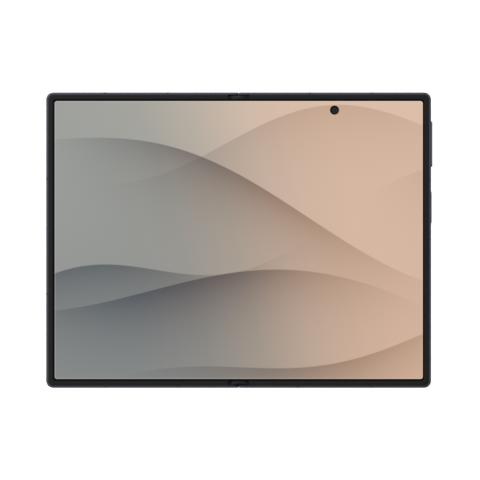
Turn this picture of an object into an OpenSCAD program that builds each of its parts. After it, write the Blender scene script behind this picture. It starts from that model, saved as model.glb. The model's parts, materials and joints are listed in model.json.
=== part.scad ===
// Book-style folding phone, lying open on its back with the inner display up.
// Origin: under the middle of the hinge, on the plane that the lens rings rest on.
// +X runs across the open phone, +Y up the display, +Z out of the display. Millimetres.
// Heights inside the modules are counted from the plane of the two fold axes.

/* [Body] */
// Width of the open phone across both halves
open_w = 161.4; // [140:0.1:180]
// Height of the phone along the hinge
body_h = 123.9; // [115:0.1:150]
// Thickness of the open phone without the camera island
body_t = 4.9; // [4.7:0.1:6]
// Radius of the four outer corners in plan
corner_r = 3; // [2.6:0.1:8]

/* [Frame] */
// Width of the metal rail around each half
rail_w = 0.95; // [0.9:0.05:1.5]
// Rounding of the rail along the back
back_edge_r = 0.9; // [0.3:0.05:1.2]
// Rounding of the rail along the display
front_edge_r = 0.5; // [0.1:0.05:0.8]
// How far the rail stays below the top of the bezel
rail_step = 0.15; // [0:0.05:0.3]
// Width of the ledges inside the rail
ledge_w = 0.9; // [0.5:0.05:1.2]
// Thickness of the ledges inside the rail
ledge_t = 0.4; // [0.3:0.05:0.6]
// Gap between the two halves along the middle of the back
lip_gap = 0.04; // [0.02:0.02:0.3]
// Rounding in plan of the rail ends beside the hinge
notch_r = 0.6; // [0.2:0.05:0.9]
// Thickness of the back glass on either half
glass_t = 0.5; // [0.4:0.05:0.6]
// Thickness of the plate behind each half of the display
midplate_t = 0.5; // [0.3:0.05:0.6]
// Width of the plastic antenna strips in the rail
antenna_w = 1; // [0.6:0.1:1.6]
// Depth of the antenna strips into the rail
antenna_d = 0.7; // [0.3:0.05:0.8]

/* [Display] */
// Thickness of the flexible display
display_t = 0.35; // [0.25:0.05:0.4]
// Height of the raised bezel above the display
bezel_t = 0.3; // [0.2:0.05:0.4]
// Width of the raised bezel
bezel_w = 1.95; // [1:0.05:3]
// Inner corner radius of the bezel
bezel_corner_r = 1.3; // [0.5:0.1:4]
// Distance of the bezel ends from the middle of the hinge
bezel_end_x = 4.35; // [4.2:0.05:6]
// Thickness of the steel plates that carry the bending part of the display
plate_t = 0.15; // [0.1:0.01:0.2]
// Length of the display that each wing plate carries
wing_l = 7.1; // [6.5:0.1:8]
// Distance of the inner camera from the middle of the phone
inner_camera_x = 40.3; // [20:0.1:60]
// Distance of the inner camera from the top edge
inner_camera_drop = 7.35; // [6:0.05:12]
// Radius of the inner camera's hole in the display
inner_camera_r = 1.6; // [1:0.05:2]

/* [Hinge] */
// Distance of each fold axis from the middle of the hinge
axis_x = 1.5; // [1.45:0.05:1.7]
// Gap between the two bezels when the phone is shut
shut_gap = 0.2; // [0.1:0.02:0.4]
// Outer radius of the hinge cover about each fold axis
cover_r = 2.8; // [2.7:0.02:2.84]
// Wall of the hinge cover
cover_wall = 0.45; // [0.3:0.05:0.5]
// Depth of the cover's rim below the fold axes
cover_rim = 1.5; // [1.45:0.05:1.9]
// Radius of the hinge pins
pin_r = 0.3; // [0.2:0.01:0.34]
// Radius of the idler pins
idler_pin_r = 0.25; // [0.15:0.01:0.3]
// Radial clearance of what turns on a pin
run_gap = 0.03; // [0.01:0.01:0.06]
// Outer radius of the arm hubs
hub_r = 0.55; // [0.5:0.01:0.57]
// Teeth of a full gear
gear_teeth = 10; // [10:10:10]
// Height of a tooth above the pitch circle
addendum = 0.12; // [0.08:0.01:0.13]
// Depth of a tooth below the pitch circle
dedendum = 0.16; // [0.15:0.01:0.2]
// Pressure angle of the teeth
pressure_angle = 25; // [22:1:26]
// Thickness of a tooth on the pitch circle
tooth_t = 0.19; // [0.15:0.01:0.2]
// Distance of each hinge module's outer end from the top or bottom edge
module_drop = 4.45; // [4:0.05:12]
// Width of the gears along the pins
gear_w = 2; // [1:0.1:2.4]
// Width of each arm's neck along the pins
neck_w = 2.2; // [1:0.1:2.6]
// Thickness of the two lugs that hold the pins
lug_t = 1.6; // [1:0.1:2]
// Width of the web that guides a wing plate
web_w = 1; // [0.6:0.1:1.4]
// Height of each rib on the side of a guide web
rib_h = 0.8; // [0.4:0.1:1]
// Thickness of a guide rib
rib_t = 0.26; // [0.2:0.02:0.3]
// Radius of the middle of the guide ribs
rib_r = 1.05; // [1:0.01:1.08]
// Clearance around what slides in the hinge
slide_gap = 0.05; // [0.03:0.01:0.08]
// Half width of the raised part of the hinge caps
cap_x = 2.85; // [2.4:0.05:3.2]
// Width of the hinge caps along the hinge
cap_w = 1.5; // [1:0.05:1.9]
// Radius of the crowned top of the hinge caps
cap_crown_r = 8; // [6:0.5:20]

/* [Cameras] */
// Height of the camera island above the back glass
island_h = 1.2; // [0.6:0.1:2]
// Height of the lens rings above the island
ring_h = 0.6; // [0.3:0.1:1]
// Width of the camera island
island_w = 16; // [14:0.5:20]
// Length of the camera island
island_l = 38; // [34:0.5:44]
// Distance of the island from the side and top edges
island_margin = 4.5; // [3:0.5:10]
// Outer radius of a lens ring
ring_r = 6.3; // [5.5:0.1:6.8]
// Inner radius of a lens ring
ring_hole_r = 5.1; // [4:0.1:5.2]

/* [Keys and ports] */
// Length of the volume rocker
rocker_l = 19.2; // [15:0.1:22]
// Height of the rocker's middle above the middle of the phone
rocker_y = 40.3; // [36:0.1:44]
// How far the rocker stands out of the rail
rocker_out = 0.6; // [0.3:0.05:0.8]
// Length of the side key
side_key_l = 13.4; // [10:0.1:16]
// Height of the side key's middle above the middle of the phone
side_key_y = 13.7; // [10:0.1:17]
// How far the side key stands out of the rail
side_key_out = 0.3; // [0.25:0.05:0.6]
// Thickness of both keys
key_t = 2; // [1.4:0.1:2.1]
// Clearance around the keys
key_gap = 0.12; // [0.08:0.01:0.2]
// Distance of the port from the middle of the phone
port_x = 40.3; // [20:0.1:60]
// Width of the port's opening
port_w = 8.34; // [8.34:0.01:8.34]
// Height of the port's opening
port_t = 2.56; // [2.56:0.01:2.56]
// Wall of the port's shell
port_wall = 0.2; // [0.15:0.01:0.22]
// Depth of the port's shell
port_d = 7.3; // [6.5:0.1:8]
// Length of the card tray's face along the edge
tray_l = 14.4; // [14:0.1:16]
// Thickness of the card tray's face
tray_t = 1.6; // [1.4:0.1:1.8]
// Depth of the card tray behind its face
tray_d = 11; // [10:0.1:13]
// Distance of the tray's middle from the bottom edge
tray_rise = 23.95; // [20:0.05:32]
// Clearance around the card tray
tray_gap = 0.08; // [0.05:0.01:0.15]

/* [Inside] */
// Thickness of the batteries
battery_t = 2.3; // [1.8:0.1:2.35]
// Thickness of the circuit boards
board_t = 0.6; // [0.4:0.1:0.8]
// Distance of the inner pieces from the outer faces
inner_gap = 2.3; // [2.1:0.1:3]
// Gap between neighbouring inner pieces
part_gap = 0.9; // [0.5:0.1:1.5]
// Depth of the bay below the batteries
foot_bay = 11; // [10:0.5:14]
// Width of each rear camera's body
camera_box = 10.4; // [10.3:0.1:11.5]
// Inner radius of the charging coil
coil_r = 11; // [8:0.5:14]
// Pitch of the coil's turns
coil_pitch = 1.4; // [1:0.1:1.6]
// Number of turns of the coil
coil_turns = 8; // [5:1:10]
// Thickness of the coil
coil_t = 0.35; // [0.2:0.05:0.4]
// Distance between speaker holes
speaker_pitch = 2.2; // [1.6:0.1:2.6]
// Radius of the speaker holes
speaker_hole_r = 0.6; // [0.4:0.05:0.7]
// Length of the loudspeaker
speaker_l = 22; // [16:0.5:24]
// Length of the earpiece
earpiece_l = 16; // [12:0.5:18]
// Width of the earpiece
earpiece_w = 6.8; // [5:0.1:8]
// Length of the vibration motor
motor_l = 18; // [12:0.5:20]
// Height of the vibration motor's middle above the middle of the phone
motor_y = 1; // [-8:0.5:4]

/* [Hidden] */
$fn = 48;

// Heights from the plane of the fold axes
bezel_z = axis_x - shut_gap / 2;
display_z = bezel_z - bezel_t;
display_low = display_z - display_t;
plate_low = display_low - plate_t;
neutral_z = display_z - display_t / 2;
rail_z = bezel_z - rail_step;
back_z = bezel_z - body_t;
glass_z = back_z + glass_t;
cover_gap = 0.1;
lip_z = -cover_r - cover_gap;
mid_low = display_low - midplate_t;
key_z = back_z + body_t / 2;
port_seat = 0.02;
port_z = mid_low - port_seat - port_wall - port_t / 2;
axis_z = island_h + ring_h - back_z;

// Outer edges in plan
edge_x = open_w / 2;
edge_y = body_h / 2;
bay_y = edge_y - rail_w;
lip_x = lip_gap / 2;

// Wing plates pivot in the display's neutral plane
wing_lean = 45 + asin((2 * neutral_z / wing_l - 1) / sqrt(2));
wing_x = axis_x - neutral_z + wing_l * sin(wing_lean);
fold_x = wing_x + wing_l;
plate_gap = 0.1;
wing_end_gap = 0.45;

// Hinge caps, between the rails and the ends of the bending display
cap_gap = 0.4;
cap_end_r = 0.7;
cap_corner_r = 0.6;
cap_foot_gap = 0.35;
cap_high = bay_y - cap_gap;
cap_low = cap_high - cap_w;
cap_top = bezel_z - slide_gap;
fold_y = cap_low - 2 * slide_gap;
plate_y = fold_y - 3 * slide_gap;

// Hinge cover and the bay that it turns in. Ribs carry the centre plate between the modules,
// with a hole for the cable
module_reach = 40;
trough_r = cover_r - cover_wall;
cover_y = bay_y - cover_gap;
floor_z = -trough_r;
rib_x = 1.9;
rib_w = 1;
rib_spread = module_reach / 2;
cable_r = 0.8;
bay_x = axis_x + cover_r + cover_gap + 0.05;
glass_x = 6;
wall_x = 6.6;
seat_x = 8.2;
seat_z = -2;
arm_top_z = -1;

// Gear train
pitch_r = axis_x / 2;
idler_x = pitch_r;
idler_z = -pitch_r * sqrt(3);
mesh_angle = 60;
pitch_angle = 360 / gear_teeth;

// Places along the hinge, from the middle outwards, in one module
guide_w = 4.9;
foot_l = 3.1;
washer_room = 1.2;
side_gap = 0.1;
module_l = guide_w + 2 * lug_t + gear_w + neck_w + 4 * side_gap + washer_room + foot_l;
module_y = edge_y - module_drop - module_l;
lug_a = module_y + guide_w;
gear_a = lug_a + lug_t + side_gap;
neck_a = gear_a + gear_w + 2 * side_gap;
lug_b = neck_a + neck_w + side_gap;
module_end = lug_b + lug_t;
guide_y = module_y + guide_w / 2;
foot_y = module_end + washer_room + foot_l / 2;
block_top = plate_low - slide_gap;
block_x = 3.55;
block_gap = 0.05;
web_stop = 28;
rib_end = 60;
groove_spare = 4;
pad_x = 1;
tie_x = 1.3;
tie_t = 0.1;
foot_top = -0.75;
pin_inset = 0.2;
nut_r = 0.55;
nut_t = 0.25;
washers = 4;
washer_t = 0.2;
screw_seat_z = -1.2;

// Small fasteners
screw_r = 0.4;
screw_head_r = 0.75;
screw_head_t = 0.35;
screw_bite = 0.8;
boss_r = 0.8;
boss_h = 0.9;
bore_l = 4;

// Camera island
island_x = edge_x - island_margin - island_w / 2;
island_y = edge_y - island_margin - island_l / 2;
lens_pitch = island_l - island_w;
inner_camera_y = edge_y - inner_camera_drop;
flash_r = 1.5;
ring_edge = (ring_r - ring_hole_r) / 4;

// Keys: each has a flange inside the rail that stops it from falling out
flange_x = edge_x - rail_w - 0.7;
flange_t = 0.4;
flange_h = key_t + 0.3;
flange_over = 0.6;
flange_room = 0.3;
key_corner_r = 0.25;
switch_t = 0.15;
switch_gap = 0.25;
switch_r = 0.8;
switch_spread = 7;
tray_y = -edge_y + tray_rise;
tray_z = key_z;

// Openings for sound, microphones and the tray's ejector
mic_r = 0.35;
mic_offset = 12;
top_mic_x = 20;
eject_r = 0.4;
eject_gap = 2;
speaker_holes = 5;

// Tongue of the port, and the wall behind its opening
tongue_t = 0.7;
tongue_inset = 1;
port_back = 0.6;

// Screws through the arms' flanges into the frames
arm_screw_x = (bay_x + seat_x) / 2;
arm_screw_a = lug_a + 1;
arm_screw_b = module_end + 1.6;
arm_end = module_end + 2.8;

// Inner pieces
inside_x = edge_x - inner_gap;
inside_y = edge_y - inner_gap;
inside_r = max(1, corner_r - inner_gap);
fill_x = flange_x - switch_gap - 2 * switch_t - part_gap;
camera_low_y = island_y - lens_pitch / 2 - camera_box / 2;
battery_x = fold_x + part_gap;
battery_top = mid_low - 0.1;
battery_low_y = -inside_y + foot_bay;
battery_high_y = camera_low_y - part_gap;
board_low_y = battery_high_y + 1.5 * part_gap;
board_z = mid_low - 1.45;
speaker_x = fill_x - speaker_l + 2 * part_gap;
earpiece_inset = 5;
earpiece_x = fill_x - earpiece_inset;
earpiece_low_y = inside_y - earpiece_w;
reader_wall = 0.6;
reader_x = edge_x - rail_w - tray_d - 3;
tray_plate_t = 0.8;
tray_rim = 1;
card_l = 12.4;
cover_display_t = 0.5;
cover_display_x = seat_x + 0.4;
cover_camera_r = 1.5;
cover_camera_body = 5;
cover_camera_x = -(edge_x + cover_display_x) / 2;
cover_camera_drop = 7;
cover_camera_y = edge_y - cover_camera_drop;
left_board_high_y = min(earpiece_low_y, cover_camera_y - cover_camera_body / 2) - part_gap;
island_flange_t = 0.3;
island_flange_w = 1.2;
island_edge_r = 0.35;
lens_t = 0.5;

// Places of antenna strips: along the top, along the bottom beside the port and the
// loudspeaker, and up the sides
antenna_offset = 15.2;
antenna_spare = 1.9;
antenna_top = [29.9, 56];
antenna_bottom = [port_x - antenna_offset, speaker_x - antenna_spare];
antenna_side = [25.6, -22.6];

/* General shapes */

module on_axes() {
  translate([0, 0, axis_z]) children();
}

module block(from, to) {
  translate(from) cube(to - from);
}

module mirrored_y() {
  children();
  mirror([0, 1, 0]) children();
}

module mirrored_x() {
  children();
  mirror([1, 0, 0]) children();
}

module left_side() {
  mirror([1, 0, 0]) children();
}

// Extrudes a section drawn in X and Z along Y
module along_y(from, to) {
  translate([0, to, 0]) rotate([90, 0, 0]) linear_extrude(to - from) children();
}

module rod_y(x, z, r, from, to) {
  translate([x, to, z]) rotate([90, 0, 0]) cylinder(r = r, h = to - from);
}

// Outline of the right half: square beside the hinge, rounded at the outer corners
module half_outline(inset, from_x, r) {
  out_x = edge_x - inset;
  out_y = edge_y - inset;
  translate([from_x, -out_y]) square([out_x - r - from_x, 2 * out_y]);
  translate([from_x, r - out_y]) square([out_x - from_x, 2 * (out_y - r)]);
  for (s = [-1, 1]) translate([out_x - r, s * (out_y - r)]) circle(r);
}

module half_plate(inset, from_x, low, high, r) {
  translate([0, 0, low]) linear_extrude(high - low) half_outline(inset, from_x, r);
}

module stadium_bar(l, t, from_x, to_x) {
  translate([from_x, 0, 0]) rotate([90, 0, 90]) linear_extrude(to_x - from_x) {
    square([l - t, t], center = true);
    for (s = [-1, 1]) translate([s * (l - t) / 2, 0]) circle(t / 2);
  }
}

/* Frames */

// Section of the rail: X counts inwards from the outer face, Y is the height
module rail_section() {
  intersection() {
    square([2 * rail_w, 4 * body_t], center = true);
    union() {
      translate([0, back_z + back_edge_r])
        square([rail_w, rail_z - front_edge_r - back_z - back_edge_r]);
      translate([back_edge_r, back_z]) square([rail_w, back_edge_r]);
      translate([front_edge_r, rail_z - front_edge_r]) square([rail_w, front_edge_r]);
      translate([back_edge_r, back_z + back_edge_r]) circle(back_edge_r);
      translate([front_edge_r, rail_z - front_edge_r]) circle(front_edge_r);
    }
  }
}

module ledge_section() {
  translate([0, glass_z]) square([rail_w + ledge_w, ledge_t]);
  translate([0, mid_low - ledge_t]) square([rail_w + ledge_w, ledge_t]);
}

module frame_section() {
  rail_section();
  intersection() {
    ledge_section();
    translate([rail_w / 2, back_z]) square([2 * rail_w, body_t]);
  }
}

// Sweeps a rail section around the right half
module sweep_rail() {
  turn_x = edge_x - corner_r;
  turn_y = edge_y - corner_r;
  along_y(-turn_y, turn_y) translate([edge_x, 0]) mirror([1, 0]) children();
  mirrored_y() {
    translate([turn_x, turn_y, 0]) rotate_extrude(angle = 90)
      translate([corner_r, 0]) mirror([1, 0]) children();
    translate([lip_x, edge_y, 0]) rotate([90, 0, 90])
      linear_extrude(turn_x - lip_x) mirror([1, 0]) children();
  }
}

// Clears the rail ends: turned about the fold axis in side view, rounded in plan
module rail_end_cuts() {
  turn_r = axis_x - lip_x;
  along_y(-edge_y - 1, edge_y + 1) difference() {
    translate([0, 0]) square([axis_x, body_t]);
    translate([axis_x, 0]) circle(turn_r);
  }
  mirrored_y() translate([0, 0, back_z - 1]) linear_extrude(body_t + 2) difference() {
    translate([0, edge_y - notch_r]) square([lip_x + notch_r, 2 * notch_r]);
    translate([lip_x + notch_r, edge_y - notch_r]) circle(notch_r);
  }
}

module antenna_slices(top, bottom) {
  for (x = top) translate([x - antenna_w / 2, edge_y, 0]) rotate([90, 0, 90])
    linear_extrude(antenna_w) mirror([1, 0]) children();
  for (x = bottom) mirror([0, 1, 0]) translate([x - antenna_w / 2, edge_y, 0])
    rotate([90, 0, 90]) linear_extrude(antenna_w) mirror([1, 0]) children();
  for (y = antenna_side) along_y(y - antenna_w / 2, y + antenna_w / 2)
    translate([edge_x, 0]) mirror([1, 0]) children();
}

module antenna_section() {
  intersection() {
    rail_section();
    translate([0, back_z - 1]) square([antenna_d, body_t + 2]);
  }
}

module antenna_strips() {
  antenna_slices(antenna_top, antenna_bottom) antenna_section();
}

module half_frame() {
  difference() {
    union() {
      sweep_rail() frame_section();
      block([lip_x, -bay_y, back_z], [glass_x, bay_y, lip_z]);
      block([bay_x, -bay_y, glass_z], [wall_x, bay_y, seat_z]);
      mirrored_y() block([bay_x, lug_a - 2 * slide_gap, glass_z], [seat_x, arm_end + 0.2, seat_z]);
    }
    block([-1, -bay_y, lip_z], [bay_x, bay_y, bezel_z]);
    rail_end_cuts();
    antenna_slices(antenna_top, antenna_bottom)
      translate([-1, back_z - 1]) square([antenna_d + 1, body_t + 2]);
    mirrored_y() for (y = [arm_screw_a, arm_screw_b])
      translate([arm_screw_x, y, seat_z - screw_bite]) cylinder(r = screw_r, h = screw_bite + 1);
  }
}

module key_opening(l, y) {
  translate([0, y, key_z])
    stadium_bar(l + 2 * key_gap, key_t + 2 * key_gap, edge_x - rail_w - 1, edge_x + 1);
  reach = l / 2 + flange_over + flange_room;
  block([edge_x - rail_w - ledge_w - 1, y - reach, key_z - (flange_h + flange_room) / 2],
    [edge_x - rail_w, y + reach, mid_low]);
}

module port_outline(grow) {
  w = port_w + 2 * grow;
  t = port_t + 2 * grow;
  square([w - t, t], center = true);
  for (s = [-1, 1]) translate([s * (w - t) / 2, 0]) circle(t / 2);
}

module port_tube(grow, from_y, to_y) {
  along_y(from_y, to_y) translate([port_x, port_z]) port_outline(grow);
}

module right_frame() {
  color("slategray") on_axes() difference() {
    half_frame();
    key_opening(rocker_l, rocker_y);
    key_opening(side_key_l, side_key_y);
    port_tube(port_wall, -edge_y - 1, -edge_y + port_d);
    for (i = [0 : speaker_holes - 1]) rod_y(speaker_x + i * speaker_pitch, key_z,
      speaker_hole_r, -edge_y - 1, -bay_y + slide_gap);
    rod_y(port_x - mic_offset, key_z, mic_r, -edge_y - 1, -bay_y + slide_gap);
    rod_y(top_mic_x, key_z, mic_r, bay_y - slide_gap, edge_y + 1);
  }
}

module left_frame() {
  color("slategray") on_axes() difference() {
    left_side() half_frame();
    translate([0, tray_y, tray_z])
      stadium_bar(tray_l + 2 * tray_gap, tray_t + 2 * tray_gap, -edge_x - 1, -edge_x + rail_w);
    translate([-edge_x - 1, tray_y + tray_l / 2 + eject_gap, tray_z]) rotate([0, 90, 0])
      cylinder(r = eject_r, h = rail_w + 1);
    for (i = [0 : speaker_holes - 1]) rod_y(-earpiece_x + earpiece_l / 4 + i * speaker_pitch,
      key_z, speaker_hole_r, bay_y - slide_gap, edge_y + 1);
    rod_y(-top_mic_x, key_z, mic_r, -edge_y - 1, -bay_y + slide_gap);
  }
}

module right_antenna_strips() {
  color("dimgray") on_axes() antenna_strips();
}

module left_antenna_strips() {
  color("dimgray") on_axes() left_side() antenna_strips();
}

/* Display, bezels and the plates behind them */

module half_bezel() {
  difference() {
    half_plate(rail_w, bezel_end_x, display_z, bezel_z, corner_r - rail_w);
    half_plate(rail_w + bezel_w, bezel_end_x - 1, display_z - 1, bezel_z + 1, bezel_corner_r);
  }
}

module right_bezel() {
  color("#2c2c2e") on_axes() half_bezel();
}

module left_bezel() {
  color("#2c2c2e") on_axes() left_side() half_bezel();
}

module half_display() {
  half_plate(rail_w + slide_gap, fold_x, display_low, display_z, corner_r - rail_w - slide_gap);
}

module inner_camera_bore(r) {
  translate([inner_camera_x, inner_camera_y, back_z + 1]) cylinder(r = r, h = body_t);
}

module display_right() {
  color("#bda98f") on_axes() difference() {
    half_display();
    inner_camera_bore(inner_camera_r + slide_gap);
  }
}

module display_left() {
  color("#9c9d98") on_axes() left_side() half_display();
}

module display_fold() {
  color("#aea491") on_axes()
    block([-fold_x, -fold_y, display_low], [fold_x, fold_y, display_z]);
}

module half_midplate() {
  half_plate(rail_w, fold_x, mid_low, display_low, corner_r - rail_w);
}

module right_midplate() {
  color("silver") on_axes() difference() {
    half_midplate();
    inner_camera_bore(inner_camera_r + 0.9);
  }
}

module left_midplate() {
  color("silver") on_axes() left_side() half_midplate();
}

/* Back of the cover half */

module half_glass() {
  half_plate(rail_w, glass_x, back_z, glass_z, corner_r - rail_w);
}

module cover_glass() {
  color("#15171a") on_axes() left_side() half_glass();
}

module cover_display() {
  color("#202830") on_axes() difference() {
    left_side()
      half_plate(inner_gap, cover_display_x, glass_z, glass_z + cover_display_t, inside_r);
    translate([cover_camera_x, cover_camera_y, glass_z - 1])
      cylinder(r = cover_camera_r + 4 * slide_gap, h = 2);
  }
}

module cover_camera() {
  half = cover_camera_body / 2;
  color("black") on_axes() translate([cover_camera_x, cover_camera_y, 0]) {
    translate([0, 0, glass_z]) cylinder(r = cover_camera_r, h = battery_top - glass_z);
    block([-half, -half, glass_z + 2 * cover_display_t], [half, half, battery_top]);
  }
}

/* Back of the camera half */

module island_outline(grow) {
  r = island_w / 2 + grow;
  translate([island_x, island_y]) {
    square([2 * r, lens_pitch], center = true);
    for (s = [-1, 1]) translate([0, s * lens_pitch / 2]) circle(r);
  }
}

module rear_glass() {
  color("#3a3f48") on_axes() difference() {
    half_glass();
    translate([0, 0, back_z - 1]) linear_extrude(body_t) island_outline(slide_gap);
  }
}

module at_lenses() {
  for (s = [-1, 1]) translate([island_x, island_y + s * lens_pitch / 2, back_z - island_h])
    children();
}

module at_flash() {
  translate([island_x, island_y, back_z - island_h]) children();
}

// Half of the island's section across its width: flat below, with a rounded edge
module island_section() {
  r = island_w / 2;
  square([r - island_edge_r, island_h + glass_t]);
  translate([0, island_edge_r]) square([r, island_h + glass_t - island_edge_r]);
  translate([r - island_edge_r, island_edge_r]) circle(island_edge_r);
}

module island_body() {
  translate([island_x, island_y, back_z - island_h]) {
    for (s = [-1, 1]) translate([0, s * lens_pitch / 2, 0]) rotate_extrude() island_section();
    mirrored_x() along_y(-lens_pitch / 2, lens_pitch / 2) island_section();
  }
}

module camera_island() {
  color("#4a4f59") on_axes() difference() {
    union() {
      island_body();
      translate([0, 0, glass_z]) linear_extrude(island_flange_t)
        island_outline(island_flange_w);
    }
    at_lenses() translate([0, 0, -1]) cylinder(r = ring_hole_r, h = island_h + body_t);
    at_flash() translate([0, 0, -1]) cylinder(r = flash_r, h = island_h + body_t);
  }
}

module lens_rings() {
  color("lightslategray") on_axes() at_lenses() translate([0, 0, -ring_h])
    rotate_extrude() polygon([
      [ring_hole_r, ring_edge / 2],
      [ring_hole_r + ring_edge, 0],
      [ring_r - ring_edge, 0],
      [ring_r, ring_edge],
      [ring_r, ring_h],
      [ring_hole_r, ring_h]
    ]);
}

module lens_glass() {
  color("#0a0c10") on_axes() at_lenses() translate([0, 0, lens_t / 2 - ring_h])
    cylinder(r = ring_hole_r, h = lens_t);
}

module rear_cameras() {
  color("dimgray") on_axes() at_lenses() {
    translate([0, 0, 2 * lens_t - ring_h]) cylinder(r = ring_hole_r - 0.5, h = island_h + glass_t);
    block([-camera_box / 2, -camera_box / 2, island_h + glass_t + island_flange_t],
      [camera_box / 2, camera_box / 2, battery_top - back_z + island_h]);
  }
}

module flash_led() {
  color("lightyellow") on_axes() at_flash() cylinder(r = flash_r, h = 0.8);
}

module inner_camera() {
  color("black") on_axes() translate([inner_camera_x, inner_camera_y, 0]) {
    translate([0, 0, mid_low - 0.6])
      cylinder(r = inner_camera_r, h = display_z - 0.05 - mid_low + 0.6);
    translate([0, 0, mid_low - 1.5]) cylinder(r = inner_camera_r + 0.8, h = 1.4);
  }
}

/* Inside the two halves */

module right_battery() {
  color("#1f2226") on_axes() block([battery_x, battery_low_y, battery_top - battery_t],
    [fill_x, battery_high_y, battery_top]);
}

module left_battery() {
  color("#1f2226") on_axes() block([-reader_x, battery_low_y, battery_top - battery_t],
    [-battery_x, battery_high_y, battery_top]);
}

module main_board() {
  half = camera_box / 2 + part_gap / 3;
  color("darkgreen") on_axes() difference() {
    block([battery_x, board_low_y, board_z], [fill_x, inside_y, board_z + board_t]);
    block([island_x - half, board_low_y - 1, board_z - 1], [island_x + half, inside_y + 1, 1]);
    inner_camera_bore(inner_camera_r + part_gap);
  }
}

module board_shields() {
  low = [battery_x, board_low_y, board_z + board_t] + 2 * [part_gap, part_gap, 0];
  high_y = inside_y - 2 * part_gap;
  color("lightgray") on_axes() {
    block(low, [inner_camera_x - 5 * part_gap, high_y, battery_top]);
    block([inner_camera_x + 5 * part_gap, low[1], low[2]],
      [island_x - camera_box / 2 - 2 * part_gap, high_y, battery_top]);
  }
}

module charging_coil() {
  color("peru") on_axes()
    translate([(battery_x + fill_x) / 2, (battery_low_y + battery_high_y) / 2, glass_z])
    rotate_extrude() for (i = [0 : coil_turns - 1])
      translate([coil_r + i * coil_pitch, 0]) square([0.8 * coil_pitch, coil_t]);
}

module loudspeaker() {
  from_x = speaker_x - 2 * part_gap;
  color("#333333") on_axes() intersection() {
    block([from_x, -inside_y, glass_z + ledge_t],
      [fill_x, battery_low_y - part_gap, battery_top]);
    half_plate(inner_gap, glass_x, back_z, bezel_z, inside_r);
  }
}

module port_board() {
  color("darkgreen") on_axes() difference() {
    block([battery_x, -inside_y, port_z - board_t / 2],
      [speaker_x - 3 * part_gap, battery_low_y - part_gap, port_z + board_t / 2]);
    block([port_x - port_w / 2 - port_wall, -edge_y, port_z - port_t],
      [port_x + port_w / 2 + port_wall, -edge_y + port_d, port_z + port_t]);
  }
}

module usb_c_port() {
  back_y = -edge_y + port_d;
  color("silver") on_axes() {
    difference() {
      port_tube(port_wall, -edge_y + port_wall, back_y);
      port_tube(0, -edge_y - 1, back_y - port_back);
    }
    block([port_x - port_w / 2 + tongue_inset, -edge_y + tongue_inset, port_z - tongue_t / 2],
      [port_x + port_w / 2 - tongue_inset, back_y - port_back, port_z + tongue_t / 2]);
  }
}

module side_switches() {
  strip_x = flange_x - switch_gap - 2 * switch_t;
  color("goldenrod") on_axes() {
    block([strip_x, side_key_y - switch_spread, key_z - 1.1 * switch_r],
      [strip_x + switch_t, rocker_y + switch_spread + 2, key_z + 1.1 * switch_r]);
    for (y = [side_key_y, rocker_y - switch_spread, rocker_y + switch_spread])
      translate([strip_x + switch_t, y, key_z]) rotate([0, 90, 0])
        cylinder(r = switch_r, h = switch_t);
  }
}

module left_board() {
  color("darkgreen") on_axes() block([-fill_x, board_low_y, board_z],
    [-battery_x, left_board_high_y, board_z + board_t]);
}

module earpiece() {
  color("#333333") on_axes() block([-earpiece_x, earpiece_low_y, board_z - part_gap],
    [-earpiece_x + earpiece_l, inside_y, battery_top]);
}

module vibration_motor() {
  color("gray") on_axes() block([-fill_x, motor_y - motor_l / 2, battery_top - battery_t],
    [-reader_x - part_gap, motor_y + motor_l / 2, battery_top]);
}

/* Card tray and its reader */

module card_tray() {
  color("slategray") on_axes() translate([0, tray_y, tray_z]) {
    stadium_bar(tray_l, tray_t, -edge_x + slide_gap, -edge_x + rail_w);
    difference() {
      block([-edge_x + rail_w - slide_gap, -tray_l / 2 + tray_rim / 2, -tray_plate_t / 2],
        [-edge_x + rail_w + tray_d, tray_l / 2 - tray_rim / 2, tray_plate_t / 2]);
      block([-edge_x + rail_w + tray_rim, -card_l / 2, 0.1 - tray_plate_t / 2],
        [-edge_x + rail_w + tray_d - tray_rim, card_l / 2, tray_plate_t]);
    }
  }
}

module tray_reader() {
  color("lightgray") on_axes() translate([0, tray_y, tray_z]) difference() {
    block([-inside_x, -tray_l / 2 - reader_wall, -tray_plate_t / 2 - reader_wall],
      [-reader_x - part_gap / 2, tray_l / 2 + reader_wall, tray_plate_t / 2 + reader_wall]);
    block([-edge_x - 1, -tray_l / 2, -tray_plate_t / 2 - tray_gap],
      [-edge_x + rail_w + tray_d + part_gap / 3, tray_l / 2, tray_plate_t / 2 + tray_gap]);
  }
}

/* Hinge */

module stadium_section(r) {
  translate([-axis_x, -r]) square([2 * axis_x, 2 * r]);
  for (s = [-1, 1]) translate([s * axis_x, 0]) circle(r);
}

module below(z) {
  intersection() {
    children();
    translate([-4 * axis_x, z - 4 * cover_r]) square([8 * axis_x, 4 * cover_r]);
  }
}

module hinge_cover() {
  color("#2a2d33") on_axes() {
    difference() {
      along_y(-cover_y, cover_y) below(-cover_rim) stadium_section(cover_r);
      along_y(-cover_y + cover_wall, cover_y - cover_wall) stadium_section(trough_r);
      mirrored_y() gear_room();
    }
    for (y = rib_spread * [-1, 0, 1]) along_y(y - rib_w / 2, y + rib_w / 2) difference() {
      translate([-rib_x, floor_z - cover_wall / 2])
        square([2 * rib_x, plate_low - floor_z + cover_wall / 2]);
      translate([0, floor_z / 2]) circle(cable_r);
    }
    mirrored_y() for (y = [guide_y, foot_y]) translate([0, y, floor_z]) difference() {
      translate([0, 0, -cover_wall / 2]) cylinder(r = boss_r, h = boss_h + cover_wall / 2);
      cylinder(r = screw_r, h = bore_l);
    }
  }
}

// Room for the idler gears where they come near the cover's floor
module gear_room() {
  for (s = [-1, 1]) rod_y(s * idler_x, idler_z, tip_r + slide_gap, gear_a - slide_gap,
    gear_a + gear_w + slide_gap);
}

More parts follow.
